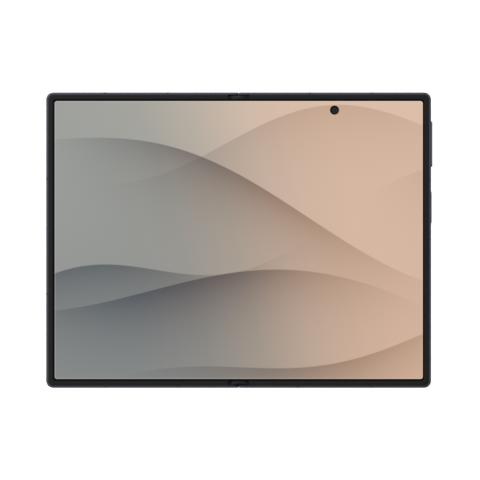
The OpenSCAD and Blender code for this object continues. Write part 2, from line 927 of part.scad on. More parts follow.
module block_section() {
  intersection() {
    below(block_top) stadium_section(trough_r - block_gap);
    translate([-block_x, floor_z + 0.001]) square([2 * block_x, 2 * trough_r]);
  }
  translate([-pad_x, 0]) square([2 * pad_x, plate_low]);
}

// Arc groove for the ribs of one wing plate, and the slot for its web
module guide_cut() {
  mirrored_x() {
    along_y(guide_y - web_w / 2 - rib_h - slide_gap, guide_y + web_w / 2 + rib_h + slide_gap)
      difference() {
        intersection() {
          translate([wing_x, neutral_z]) circle(rib_r + rib_t / 2 + slide_gap);
          translate([wing_x, neutral_z]) for (turn = [0, 90])
            rotate(web_stop - groove_spare - 180 + turn) square(2 * rib_r);
        }
        translate([wing_x, neutral_z]) circle(rib_r - rib_t / 2 - slide_gap);
      }
    along_y(guide_y - web_w / 2 - slide_gap, guide_y + web_w / 2 + slide_gap)
      translate([wing_x, neutral_z]) circle(rib_r + rib_t / 2 + 2 * slide_gap);
  }
}

module one_base() {
  difference() {
    union() {
      along_y(module_y, lug_a + lug_t) block_section();
      along_y(lug_b, module_end) block_section();
      block([-tie_x, lug_a, floor_z], [tie_x, foot_y, floor_z + tie_t]);
      along_y(foot_y - foot_l / 2, foot_y + foot_l / 2) below(foot_top) block_section();
    }
    guide_cut();
    gear_room();
    for (s = [-1, 1]) {
      rod_y(s * axis_x, 0, pin_r, lug_a, module_end + 1);
      rod_y(s * idler_x, idler_z, idler_pin_r, lug_a + pin_inset, module_end - pin_inset);
    }
    for (y = [guide_y, foot_y]) {
      translate([0, y, floor_z - 1]) cylinder(r = boss_r, h = 1 + boss_h);
      translate([0, y, floor_z]) cylinder(r = screw_r, h = bore_l);
      translate([0, y, screw_seat_z]) cylinder(r = screw_head_r, h = bore_l);
    }
  }
}

module hinge_bases() {
  color("gray") on_axes() mirrored_y() one_base();
}

module base_screws() {
  color("silver") on_axes() mirrored_y() for (y = [guide_y, foot_y]) {
    translate([0, y, floor_z]) cylinder(r = screw_r, h = screw_seat_z - floor_z);
    translate([0, y, screw_seat_z]) cylinder(r = screw_head_r, h = screw_head_t);
  }
}

module hinge_pins() {
  color("silver") on_axes() mirrored_y() for (s = [-1, 1]) {
    rod_y(s * axis_x, 0, pin_r, lug_a, module_end + washer_room);
    rod_y(s * axis_x, 0, nut_r, module_end + washer_room, module_end + washer_room + nut_t);
  }
}

module idler_pins() {
  color("silver") on_axes() mirrored_y() for (s = [-1, 1])
    rod_y(s * idler_x, idler_z, idler_pin_r, lug_a + pin_inset, module_end - pin_inset);
}

module friction_washers() {
  color("darkgray") on_axes() mirrored_y() for (s = [-1, 1]) for (i = [0 : washers - 1])
    translate([s * axis_x, module_end + (i + 0.3) * washer_room / washers, 0])
      rotate([-90, 0, 0]) difference() {
        cylinder(r = nut_r, h = washer_t);
        translate([0, 0, -1]) cylinder(r = pin_r, h = 2);
      }
}

module centre_plate() {
  color("silver") on_axes() block([-wing_x + plate_gap, -plate_y, plate_low],
    [wing_x - plate_gap, plate_y, display_low]);
}

// Plan of a cap, with rounded corners towards the end of the phone
module cap_outline() {
  translate([-cap_x, cap_low]) square([2 * cap_x, cap_w - cap_corner_r]);
  translate([cap_corner_r - cap_x, cap_low]) square([2 * (cap_x - cap_corner_r), cap_w]);
  for (s = [-1, 1]) translate([s * (cap_x - cap_corner_r), cap_high - cap_corner_r])
    circle(cap_corner_r);
}

// Section of the raised part across the hinge, with a crowned top
module cap_section() {
  intersection() {
    translate([-cap_x, -cover_rim]) square([2 * cap_x, cap_top + cover_rim]);
    translate([0, cap_top - cap_crown_r]) circle(cap_crown_r);
  }
}

// Section of the raised part along the hinge: Y along it, Z up, with the outer edge rounded
module cap_profile() {
  translate([cap_low, -cover_rim]) square([cap_w, cap_top - cap_end_r + cover_rim]);
  translate([cap_low, -cover_rim]) square([cap_w - cap_end_r, cap_top + cover_rim]);
  translate([cap_high - cap_end_r, cap_top - cap_end_r]) circle(cap_end_r);
}

// Section between two heights that is round about the fold axes
module cap_step(low, high) {
  intersection() {
    stadium_section(trough_r - block_gap);
    translate([-2 * cap_x, low]) square([4 * cap_x, high - low]);
  }
}

// Each cap stands on the cover's end wall, and its foot fills the end of the trough
module hinge_caps() {
  color("#232326") on_axes() mirrored_y() {
    intersection() {
      along_y(cap_low, cap_high) cap_section();
      translate([0, 0, -2 * cover_rim]) linear_extrude(4 * cover_rim) cap_outline();
      translate([-cap_x, 0, 0]) rotate([90, 0, 90]) linear_extrude(2 * cap_x) cap_profile();
    }
    along_y(cap_low, cap_high) cap_step(-cover_rim, display_low - cap_foot_gap / 2);
    along_y(cap_low + cap_foot_gap, cover_y - cover_wall) intersection() {
      cap_step(floor_z, 0);
      translate([-rib_x, floor_z]) square([2 * rib_x, -floor_z]);
    }
  }
}

/* Gears */

function involute(a) = tan(a) * 180 / PI - a;
base_r = pitch_r * cos(pressure_angle);
root_r = pitch_r - dedendum;
tip_r = pitch_r + addendum;
tooth_foot_r = min(root_r, hub_r) - 0.1;
flank_steps = 4;
function half_angle(r) = tooth_t / 2 / pitch_r * 180 / PI + involute(pressure_angle)
  - involute(acos(min(1, base_r / r)));
function flank_r(i) = base_r + (tip_r - base_r) * i / flank_steps;
function polar(r, a) = [r * cos(a), r * sin(a)];

module tooth() {
  rise = [for (i = [0 : flank_steps]) polar(flank_r(i), half_angle(flank_r(i)))];
  fall = [for (i = [flank_steps : -1 : 0]) polar(flank_r(i), -half_angle(flank_r(i)))];
  foot = half_angle(base_r);
  polygon(concat([polar(tooth_foot_r, foot)], rise, fall, [polar(tooth_foot_r, -foot)]));
}

module teeth(first, count) {
  for (i = [0 : count - 1]) rotate(first + i * pitch_angle) tooth();
}

module idler_gear(first) {
  along_y(gear_a, gear_a + gear_w) difference() {
    union() {
      circle(root_r);
      teeth(first, gear_teeth);
    }
    circle(idler_pin_r + run_gap);
  }
}

module idler_gears_right() {
  color("goldenrod") on_axes() mirrored_y() translate([idler_x, 0, idler_z])
    idler_gear(mesh_angle + pitch_angle / 2);
}

module idler_gears_left() {
  color("goldenrod") on_axes() mirrored_y() translate([-idler_x, 0, idler_z])
    idler_gear(180 - mesh_angle);
}

/* Arms between the halves and the hinge pins, drawn from their fold axis */

arm_x = bay_x + 0.02;
neck_low = -1.42;

module neck_section() {
  polygon([
    [-0.35, -0.3],
    [-0.35, -1.55],
    [-0.05, -1.85],
    [0.9, -1.85],
    [1.6, neck_low],
    [arm_x - axis_x + 0.1, neck_low],
    [arm_x - axis_x + 0.1, arm_top_z],
    [1.75, arm_top_z],
    [1.1, -1.24],
    [0.45, -1.2],
    [0.38, -0.3]
  ]);
}

// first_tooth is the angle of the first tooth of the arm's gear sector
module one_arm(first_tooth) {
  difference() {
    union() {
      translate([axis_x, 0, 0]) {
        along_y(gear_a, neck_a + neck_w) circle(hub_r);
        along_y(gear_a, gear_a + gear_w) {
          circle(hub_r);
          teeth(first_tooth, 4);
        }
        along_y(neck_a, neck_a + neck_w) neck_section();
      }
      difference() {
        block([arm_x, lug_a, seat_z], [seat_x - 2 * slide_gap, arm_end, arm_top_z]);
        for (y = [arm_screw_a, arm_screw_b]) translate([arm_screw_x, y, seat_z - 1])
          cylinder(r = screw_r, h = bore_l);
      }
    }
    rod_y(axis_x, 0, pin_r + run_gap, gear_a - 1, neck_a + neck_w + 1);
  }
}

module hinge_arms_right() {
  color("lightsteelblue") on_axes() mirrored_y() one_arm(180 + mesh_angle - 2 * pitch_angle);
}

module hinge_arms_left() {
  color("lightsteelblue") on_axes() left_side()
    mirrored_y() one_arm(180 + mesh_angle - 2.5 * pitch_angle);
}

module arm_screws() {
  mirrored_y() for (y = [arm_screw_a, arm_screw_b]) {
    translate([arm_screw_x, y, seat_z - screw_bite])
      cylinder(r = screw_r, h = screw_bite + arm_top_z - seat_z);
    translate([arm_screw_x, y, arm_top_z]) cylinder(r = screw_head_r, h = screw_head_t);
  }
}

module arm_screws_right() {
  color("silver") on_axes() arm_screws();
}

module arm_screws_left() {
  color("silver") on_axes() left_side() arm_screws();
}

/* Wing plates */

module web_section() {
  intersection() {
    translate([wing_x, neutral_z]) circle(rib_r + rib_t / 2);
    union() {
      translate([wing_x - 2, block_top - 2]) square([2, 2]);
      translate([wing_x, plate_low - 2]) square([2, 2 + plate_t / 2]);
    }
    translate([wing_x, neutral_z]) rotate(web_stop - 180) square([4, 4]);
    translate([wing_x, neutral_z]) rotate(-rib_end - 90) square([4, 4]);
  }
}

module rib_section() {
  difference() {
    web_section();
    translate([wing_x, neutral_z]) circle(rib_r - rib_t / 2);
  }
}

module wing_plate() {
  block([wing_x + plate_gap, -plate_y, plate_low], [fold_x - wing_end_gap, plate_y, display_low]);
  mirrored_y() {
    along_y(guide_y - web_w / 2, guide_y + web_w / 2) web_section();
    along_y(guide_y - web_w / 2 - rib_h, guide_y + web_w / 2 + rib_h) rib_section();
  }
}

module wing_plate_right() {
  color("lightgray") on_axes() wing_plate();
}

module wing_plate_left() {
  color("lightgray") on_axes() left_side() wing_plate();
}

/* Keys */

// Plan of a key's cap, with its two outer corners rounded
module key_plan(l, out) {
  translate([flange_x, -l / 2]) square([edge_x + out - key_corner_r - flange_x, l]);
  translate([flange_x, key_corner_r - l / 2])
    square([edge_x + out - flange_x, l - 2 * key_corner_r]);
  for (s = [-1, 1]) translate([edge_x + out - key_corner_r, s * (l / 2 - key_corner_r)])
    circle(key_corner_r);
}

module key_body(l, y, out) {
  translate([0, y, key_z]) {
    intersection() {
      stadium_bar(l, key_t, flange_x + flange_t / 2, edge_x + out);
      translate([0, 0, -key_t]) linear_extrude(2 * key_t) key_plan(l, out);
    }
    block([flange_x, -l / 2 - flange_over, -flange_h / 2],
      [flange_x + flange_t, l / 2 + flange_over, flange_h / 2]);
  }
}

module volume_rocker() {
  color("#6a6e78") on_axes() key_body(rocker_l, rocker_y, rocker_out);
}

module side_key() {
  color("#3b3e46") on_axes() key_body(side_key_l, side_key_y, side_key_out);
}

left_frame();
left_bezel();
left_antenna_strips();
left_midplate();
display_left();
cover_glass();
cover_display();
cover_camera();
left_battery();
left_board();
earpiece();
vibration_motor();
tray_reader();
card_tray();
hinge_arms_left();
arm_screws_left();
hinge_cover();
hinge_bases();
hinge_pins();
idler_pins();
friction_washers();
base_screws();
centre_plate();
hinge_caps();
display_fold();
idler_gears_right();
idler_gears_left();
wing_plate_right();
wing_plate_left();
right_frame();
right_bezel();
right_antenna_strips();
right_midplate();
display_right();
rear_glass();
camera_island();
lens_rings();
lens_glass();
rear_cameras();
flash_led();
inner_camera();
right_battery();
main_board();
board_shields();
charging_coil();
loudspeaker();
port_board();
usb_c_port();
side_switches();
hinge_arms_right();
arm_screws_right();
volume_rocker();
side_key();
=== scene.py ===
"""Dresses the folding phone: screen, bezels, optics, finishes, floor, light and camera."""
import json
import math

import bmesh
import bpy
import numpy as np
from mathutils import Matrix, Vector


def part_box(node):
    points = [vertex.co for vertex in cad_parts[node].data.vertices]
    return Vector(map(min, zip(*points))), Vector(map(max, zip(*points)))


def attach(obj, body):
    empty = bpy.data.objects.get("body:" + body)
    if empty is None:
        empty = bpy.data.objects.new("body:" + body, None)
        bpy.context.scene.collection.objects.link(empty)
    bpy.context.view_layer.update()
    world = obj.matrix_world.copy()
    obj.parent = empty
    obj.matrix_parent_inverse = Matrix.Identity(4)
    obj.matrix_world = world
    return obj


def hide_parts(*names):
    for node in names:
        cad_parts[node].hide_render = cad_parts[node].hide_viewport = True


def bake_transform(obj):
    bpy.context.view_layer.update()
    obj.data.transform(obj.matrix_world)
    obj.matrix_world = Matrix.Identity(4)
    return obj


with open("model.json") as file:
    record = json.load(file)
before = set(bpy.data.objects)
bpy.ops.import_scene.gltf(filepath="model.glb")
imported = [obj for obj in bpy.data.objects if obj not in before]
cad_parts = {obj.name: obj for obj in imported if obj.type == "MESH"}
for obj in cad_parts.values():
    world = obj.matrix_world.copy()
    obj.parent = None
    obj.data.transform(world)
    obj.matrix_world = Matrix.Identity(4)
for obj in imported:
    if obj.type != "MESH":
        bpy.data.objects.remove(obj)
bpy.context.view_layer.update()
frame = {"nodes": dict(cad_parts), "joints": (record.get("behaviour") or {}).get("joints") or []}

MM = 0.001


# ---------------------------------------------------------------- sizes read from the nodes
def side_of(node, axis, high):
    """One face of a node's box at rest, in metres."""
    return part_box(node)[1 if high else 0][axis]


def middle_of(node):
    """Middle of a node's box at rest."""
    low, high = np.array(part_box(node))
    return (low + high) / 2


def half_width(node):
    """Half of a node's width across the phone."""
    low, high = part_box(node)
    return (high[0] - low[0]) / 2


edge_x = side_of("right_frame", 0, True)
edge_y = side_of("right_frame", 1, True)
bezel_out_x = side_of("right_bezel", 0, True)
bezel_out_y = side_of("right_bezel", 1, True)
bezel_end_x = side_of("right_bezel", 0, False)
bezel_top = side_of("right_bezel", 2, True)
rail_top = side_of("right_frame", 2, True)
film_top = side_of("display_right", 2, True)
film_low = side_of("display_right", 2, False)
film_x = side_of("display_right", 0, True)
film_y = side_of("display_right", 1, True)
film_split = side_of("display_right", 0, False)
fold_end = side_of("display_fold", 0, True)
fold_y = side_of("display_fold", 1, True)
wing_x = next(j for j in frame["joints"] if j["name"] == "wing_turn_right")["pos_m"][0]
lens_x = middle_of("lens_rings")[0]
lens_centres = [(lens_x, side_of("lens_rings", 1, True) - half_width("lens_rings")),
                (lens_x, side_of("lens_rings", 1, False) + half_width("lens_rings"))]

# ---------------------------------------------------------------- sizes of the finer forms
HAIR = 0.004 * MM              # lift of the bezel's foot off the film
CORNER_STEPS = 17
TURN_STEPS = 96

BEZEL_W = 1.95 * MM
BEZEL_OUT_R = 2.05 * MM
BEZEL_IN_R = 1.3 * MM
RAMP_FOOT = 0.02 * MM          # start of the bezel's ramp above the rail
# Pairs: share of the width and share of the climb here, radius and depth in mm further down.
RAMP = [(0, 0), (0.03, 0.32), (0.09, 0.66), (0.17, 0.9), (0.27, 1), (0.31, 1), (0.94, 1)]
EDGE_ROUND = 0.04              # share of the bezel's width in its rounded inner edge
EDGE_STEPS = 7

END_POINTS = 9                 # points along the straight end of a flat stretch
SPREAD_RING = 0.3              # ring of points between the camera's hole and the film's edge
BEND = 0.5 * MM                # half the length over which the fold stretch turns
BEND_SPARE = 1.2               # where the flat rows start, in lengths of BEND
MIDDLE_ROWS, BEND_ROWS, OUTER_ROWS = 3, 25, 9

ACTIVE_X = 77.112 * MM         # half size, corner and place of the lit area
ACTIVE_Y = 58.214 * MM
ACTIVE_R = 0.95 * MM
ACTIVE_SHIFT_X = 0.065 * MM
ACTIVE_SHIFT_Y = 0.034 * MM
LIT_SOFT = 0.06 * MM
RIM_IN, RIM_OUT, RIM_GAIN = -0.5 * MM, -0.4 * MM, 0.11     # bright rim inside the border

CAMERA_HOLE_R = 1.86 * MM
UNLIT_R, LIT_R = 1.89 * MM, 1.97 * MM      # dark edge of the film round the hole
EYE_WALL = 0.05 * MM           # gap between the eye and its hole
EYE_SEAT_R = 1.5 * MM
EYE_EDGE = 0.04 * MM           # depth of the eye's outer edge below the film's top
EYE_FRONT = [(0, 0.14), (0.3, 0.15), (0.55, 0.2), (0.6, 0.26), (1.15, 0.26), (1.22, 0.12)]
EYE_SHIFT = (-0.09 * MM, -0.14 * MM)
camera_x, camera_y = middle_of("inner_camera")[:2] + EYE_SHIFT

LENS_FRONT = [(0, 0.05), (1.2, 0.08), (2.0, 0.2), (2.2, 0.24), (2.3, 0.02)]
LENS_BEVEL = (0.3 * MM, 0.12 * MM)

# Marks that the finishes draw. A pair gives where a mark's fade starts and ends.
COVER_CORNER_R = 2.4 * MM
COVER_EDGE = (0.1 * MM, -0.1 * MM)
COVER_EYE = (1.95 * MM, 1.85 * MM)
COVER_PUPIL = (1.0 * MM, 0.9 * MM)
EYE_STOP = (1.3 * MM, 1.15 * MM)
EYE_LENS = (0.62 * MM, 0.5 * MM)
BARREL_PITCH = 0.55 * MM
FRONT_ELEMENT = (2.1 * MM, 1.9 * MM)
COATING = (1.6 * MM, 0.2 * MM)
LENS_RING_PITCH = 0.16 * MM
FLASH_PITCH = 0.22 * MM
FLASH_CORE = (1.0 * MM, 0.3 * MM)
TONGUE = (3.45 * MM, 0.5 * MM, 0.3 * MM)     # half width, half height and corner
TONGUE_EDGE = (0.05 * MM, 0.0)
CONTACT_PITCH = 0.5 * MM
CONTACT_SPAN = (2.95 * MM, 2.9 * MM)
CONTACT_START = (1.3 * MM, 1.35 * MM)


# ---------------------------------------------------------------- meshes
def mesh_of(name, points, faces, smooth_angle=35):
    """A mesh object at the origin from an (n, 3) array and an (m, 4) array of indices.
    Points that meet at a pole are merged, so the quads round it close as triangles."""
    mesh = bpy.data.meshes.new(name)
    mesh.from_pydata(points.tolist(), [], faces.tolist())
    form = bmesh.new()
    form.from_mesh(mesh)
    bmesh.ops.remove_doubles(form, verts=form.verts, dist=1e-8)
    form.to_mesh(mesh)
    form.free()
    mesh.validate()
    mesh.polygons.foreach_set("use_smooth", [True] * len(mesh.polygons))
    mesh.set_sharp_from_angle(angle=math.radians(smooth_angle))
    piece = bpy.data.objects.new(name, mesh)
    bpy.context.scene.collection.objects.link(piece)
    return piece


def surface(name, grid, closed_rows=False, closed_columns=False, flip=False):
    """A mesh over a grid of points of shape (rows, columns, 3). Point (i, j) is joined to
    (i + 1, j) and (i, j + 1), and a closed direction runs round from the last to the first."""
    rows, columns = grid.shape[:2]
    i, j = np.meshgrid(np.arange(rows if closed_rows else rows - 1),
                       np.arange(columns if closed_columns else columns - 1), indexing="ij")
    i2, j2 = (i + 1) % rows, (j + 1) % columns
    faces = np.stack([i * columns + j, i2 * columns + j, i2 * columns + j2,
                      i * columns + j2], axis=-1).reshape(-1, 4)
    return mesh_of(name, grid.reshape(-1, 3), faces[:, ::-1] if flip else faces)


def turned(name, profile, centre, flip=False):
    """Turns a profile of (radius, height) pairs about a vertical line through centre: the
    point at angle a is the centre plus radius times (cos a, sin a), at the pair's height."""
    angle = np.linspace(0, 2 * np.pi, TURN_STEPS, endpoint=False)
    radius, height = np.array(profile, float).T
    grid = np.stack([centre[0] + np.outer(np.cos(angle), radius),
                     centre[1] + np.outer(np.sin(angle), radius),
                     np.outer(np.ones(TURN_STEPS), height)], axis=-1)
    return surface(name, grid, closed_rows=True, flip=flip)


def arc(centre, radius, start, stop, steps):
    """Points of an arc in a plane, angles in degrees."""
    t = np.radians(np.linspace(start, stop, steps))
    return np.stack([centre[0] + radius * np.cos(t), centre[1] + radius * np.sin(t)], axis=-1)


def half_path(side, start_x, x, y, radius):
    """Half of a rounded rectangle, from the hinge at the top round to the hinge below."""
    high = arc((x - radius, y - radius), radius, 90, 0, CORNER_STEPS)
    low = arc((x - radius, radius - y), radius, 0, -90, CORNER_STEPS)
    path = np.vstack([[(start_x, y)], high, low, [(start_x, -y)]])
    return path * (side, 1)


def crown(width, rise, foot):
    """Section of a bezel: share of the width from outside in, and height, as a closed loop.
    A shallow ramp leads up from the rail, and the inner edge is a quarter round."""
    ramp = [(share, foot * (1 - climb) + rise * climb) for share, climb in RAMP]
    turn = [(1 - EDGE_ROUND * (1 - math.sin(a)), rise - EDGE_ROUND * width * (1 - math.cos(a)))
            for a in np.radians(np.linspace(0, 90, EDGE_STEPS))]
    return ramp + turn + [(1, film_top + HAIR), (0, film_top + HAIR)]


def bezel(name, side):
    """The raised rim of one half: the crown section swept between its outer and inner outlines.
    A point is the outer one times 1 - share, plus the inner one times share. The section's
    middle closes each end."""
    outer = half_path(side, bezel_end_x, bezel_out_x, bezel_out_y, BEZEL_OUT_R)
    inner = half_path(side, bezel_end_x, bezel_out_x - BEZEL_W, bezel_out_y - BEZEL_W, BEZEL_IN_R)
    section = np.array(crown(BEZEL_W, bezel_top, rail_top + RAMP_FOOT))
    share = section[:, 0][None, :, None]
    plan = outer[:, None, :] * (1 - share) + inner[:, None, :] * share
    height = np.broadcast_to(section[:, 1][None, :, None], plan.shape[:2] + (1,))
    grid = np.concatenate([plan, height], axis=-1)
    middle = np.broadcast_to(grid.mean(axis=1, keepdims=True), grid.shape)
    grid = np.concatenate([middle[:1], grid, middle[-1:]])
    return surface(name, grid, closed_columns=True, flip=side > 0)


def add_screen_map(piece):
    """A map over the whole open screen, so that one image runs over all its stretches:
    u and v are x and y over the phone's full width and height, plus a half."""
    mesh = piece.data
    place = np.zeros(len(mesh.vertices) * 3)
    mesh.vertices.foreach_get("co", place)
    corner = np.zeros(len(mesh.loops), int)
    mesh.loops.foreach_get("vertex_index", corner)
    flat = place.reshape(-1, 3)[corner, :2] / (2 * edge_x, 2 * edge_y) + 0.5
    mesh.uv_layers.new(name="screen").data.foreach_set("uv", flat.ravel())


def distance_to(outline, centre, rays):
    """How far each ray from the centre runs before it meets the closed outline: the crossing
    of ray and edge by Cramer's rule, kept where it lies ahead and between the edge's ends."""
    start = outline[None] - centre
    step = np.roll(outline, -1, axis=0)[None] - outline[None]
    ray = rays[:, None]
    cross = ray[..., 0] * step[..., 1] - ray[..., 1] * step[..., 0]
    cross = np.where(np.abs(cross) < 1e-12, 1e-12, cross)
    along = (start[..., 0] * step[..., 1] - start[..., 1] * step[..., 0]) / cross
    share = (start[..., 0] * ray[..., 1] - start[..., 1] * ray[..., 0]) / cross
    hit = (along > 0) & (share >= -1e-9) & (share <= 1 + 1e-9)
    return np.where(hit, along, np.inf).min(axis=1)


def flat_stretch(name, side):
    """Flat stretch of the screen on one half: rings between an inner outline and the film's
    edge, with a wall down to its underside. On the right the inner outline is the camera's
    hole, with a spoke through each point of the edge and each of its own steps."""
    outline = half_path(side, film_split, film_x, film_y, BEZEL_OUT_R)
    ends = np.array([(film_split * side, y)
                     for y in np.linspace(-film_y, film_y, END_POINTS)[1:-1]])
    outline = np.vstack([outline, ends])
    if side > 0:
        centre = np.array((camera_x, camera_y))
        away = outline - centre
        hole = centre + CAMERA_HOLE_R * away / np.linalg.norm(away, axis=1, keepdims=True)
        extra = np.linspace(-np.pi, np.pi, TURN_STEPS + 1)[:-1]
        order = np.argsort(-np.concatenate([np.arctan2(away[:, 1], away[:, 0]), extra]))
        reach = np.stack([np.cos(extra), np.sin(extra)], axis=-1)
        far = centre + reach * distance_to(outline, centre, reach)[:, None]
        outline = np.vstack([outline, far])[order]
        hole = np.vstack([hole, centre + CAMERA_HOLE_R * reach])[order]
        wall = [(0, film_low)]
    else:
        hole = np.tile(outline.mean(axis=0), (len(outline), 1))
        wall = []
    rings = [np.column_stack([hole * (1 - share) + outline * share, np.full(len(hole), height)])
             for share, height in wall + [(0, film_top), (SPREAD_RING, film_top), (1, film_top),
                                          (1, film_low), (0, film_low)]]
    piece = surface(name, np.stack(rings, axis=1), closed_rows=True, flip=side < 0)
    add_screen_map(piece)
    return piece


def bending_stretch(name, side):
    """One side of the bending stretch: a closed strip section with close rows where it bends,
    carried along y and drawn together at both ends."""
    x = np.concatenate([np.linspace(0, wing_x - BEND_SPARE * BEND, MIDDLE_ROWS),
                        np.linspace(wing_x - BEND, wing_x + BEND, BEND_ROWS),
                        np.linspace(wing_x + BEND_SPARE * BEND, fold_end, OUTER_ROWS)])
    loop = np.concatenate([x, x[::-1]]) * side
    height = np.repeat([film_top, film_low], len(x))
    middle = (film_top + film_low) / 2
    rows = [np.column_stack([loop, np.full(len(loop), y), middle + (height - middle) * share])
            for y, share in ((-fold_y, 0), (-fold_y, 1), (-fold_y / 3, 1), (fold_y / 3, 1),
                             (fold_y, 1), (fold_y, 0))]
    piece = surface(name, np.stack(rows), closed_columns=True, flip=side > 0)
    add_screen_map(piece)
    return piece


# ---------------------------------------------------------------- shader maths
def rgb(red, green, blue):
    """A display colour, 0 to 255 a channel, as linear light."""
    c = np.array((red, green, blue)) / 255
    return (*np.where(c <= 0.04045, c / 12.92, ((c + 0.055) / 1.055) ** 2.4), 1.0)


class Value:
    """A socket's value, for use in sums, differences, products and powers."""

    def __init__(self, net, socket):
        self.net, self.socket = net, socket

    def __add__(self, other):
        return self.net.maths("ADD", self, other)

    def __radd__(self, other):
        return self.net.maths("ADD", other, self)

    def __sub__(self, other):
        return self.net.maths("SUBTRACT", self, other)

    def __rsub__(self, other):
        return self.net.maths("SUBTRACT", other, self)

    def __mul__(self, other):
        return self.net.maths("MULTIPLY", self, other)

    def __rmul__(self, other):
        return self.net.maths("MULTIPLY", other, self)

    def __pow__(self, other):
        return self.net.maths("POWER", self, other)


class Net:
    """The shader nodes of one material, or of the world."""

    def __init__(self, name, world=False):
        blocks = bpy.data.worlds if world else bpy.data.materials
        self.block = blocks.new(name)
        self.block.use_nodes = True
        self.tree = self.block.node_tree
        self.shader = self.tree.nodes["Background" if world else "Principled BSDF"]

    def put(self, target, value):
        """Links a value to a socket, or sets a plain number or colour on it."""
        if isinstance(value, Value):
            self.tree.links.new(value.socket, target)
        else:
            target.default_value = value

    def node(self, kind, settings=None, inputs=None, output=0):
        """Adds a node: its settings first, then the values or links of its sockets."""
        made = self.tree.nodes.new(kind)
        for key, value in (settings or {}).items():
            setattr(made, key, value)
        for key, value in (inputs or {}).items():
            self.put(made.inputs[key], value)
        return Value(self, made.outputs[output])

    def maths(self, operation, *values):
        """One Math node on values and numbers."""
        return self.node("ShaderNodeMath", {"operation": operation}, dict(enumerate(values)))

    def size(self, value):
        """A value without its sign."""
        return self.maths("ABSOLUTE", value)

    def blend(self, factor, low, high):
        """The colour low where the factor is 0, and high where it is 1."""
        return self.node("ShaderNodeMix", {"data_type": "RGBA", "clamp_factor": True},
                         {0: factor, 6: low, 7: high}, output=2)

    def ramp(self, value, low, high):
        """0 at low, 1 at high and a smooth step between, whichever of the two is greater."""
        return self.node("ShaderNodeMapRange", {"interpolation_type": "SMOOTHSTEP"},
                         {0: value, 1: low, 2: high})

    def palette(self, value, colours):
        """Colours evenly spaced from 0 to 1, with a straight change between neighbours."""
        made = self.node("ShaderNodeValToRGB", None, {0: value})
        stops = made.socket.node.color_ramp.elements
        for at, colour in zip(np.linspace(0, 1, len(colours)), colours):
            stop = stops[0] if at == 0 else stops[-1] if at == 1 else stops.new(at)
            stop.color = colour
        return made

    def split(self, vector):
        """The three parts of a vector."""
        x = self.node("ShaderNodeSeparateXYZ", None, {0: vector})
        return [Value(self, part) for part in x.socket.node.outputs]

    def place(self):
        """Object coordinates, whole and as three values."""
        vector = self.node("ShaderNodeTexCoord", output="Object")
        return vector, self.split(vector)

    def around(self, x, y, *centres):
        """Distance from the nearest of some vertical lines."""
        radii = [((x - cx) ** 2.0 + (y - cy) ** 2.0) ** 0.5 for cx, cy in centres]
        nearest = radii[0]
        for radius in radii[1:]:
            nearest = self.maths("MINIMUM", nearest, radius)
        return nearest

    def box_distance(self, x, y, half_x, half_y, radius):
        """Signed distance to a rounded rectangle about the origin: below 0 inside."""
        out_x = self.maths("MAXIMUM", self.size(x) - (half_x - radius), 0.0)
        out_y = self.maths("MAXIMUM", self.size(y) - (half_y - radius), 0.0)
        return (out_x * out_x + out_y * out_y) ** 0.5 - radius

    def wave(self, value, pitch):
        """A sine of a length, from -1 to 1, once in each pitch."""
        return self.maths("SINE", value * (2 * math.pi / pitch))

    def noise(self, vector, scale, detail=2.0, stretch=None):
        """Noise over a place, drawn out along an axis where its stretch is under 1."""
        if stretch:
            vector = self.node("ShaderNodeVectorMath", {"operation": "MULTIPLY"},
                               {0: vector, 1: stretch})
        return self.node("ShaderNodeTexNoise", None,
                         {"Vector": vector, "Scale": scale, "Detail": detail})

    def bump(self, height, distance):
        """The normal of a surface that rises by a distance where the height is 1."""
        return self.node("ShaderNodeBump", None,
                         {"Height": height, "Distance": distance, "Strength": 1.0})

    def finish(self, **sockets):
        """Sets or links the shader's sockets, and returns the material or world."""
        for key, value in sockets.items():
            self.put(self.shader.inputs[key.replace("_", " ")], value)
        return self.block


# ---------------------------------------------------------------- materials
def shades(colour, spread):
    """A darker and a lighter version of a colour."""
    return [(*(min(1, c * k) for c in colour[:3]), 1.0) for k in (1 - spread, 1 + spread)]


def metal(name, colour, rough, stretch=None, grain=5000, depth=1.5e-6):
    """Metal with a fine grain: even for a blasted finish, stretched for a brushed one."""
    net = Net(name)
    vector, _ = net.place()
    fine = net.noise(vector, grain, 3.0, stretch)
    broad = net.noise(vector, 60)
    return net.finish(Base_Color=net.blend(fine * 0.8 + broad * 0.2, *shades(colour, 0.08)),
                      Roughness=rough - 0.04 + fine * 0.05 + broad * 0.03,
                      Metallic=1.0, Normal=net.bump(fine, depth))


def plastic(name, colour, rough, specular=0.5):
    """Moulded plastic: a fine spark-eroded grain and faint mottling."""
    net = Net(name)
    vector, _ = net.place()
    fine = net.noise(vector, 3500)
    broad = net.noise(vector, 90, 3.0)
    return net.finish(Base_Color=net.blend(broad, *shades(colour, 0.12)),
                      Roughness=rough - 0.06 + fine * 0.08 + broad * 0.06,
                      Specular_IOR_Level=specular, Normal=net.bump(fine, 3e-6))


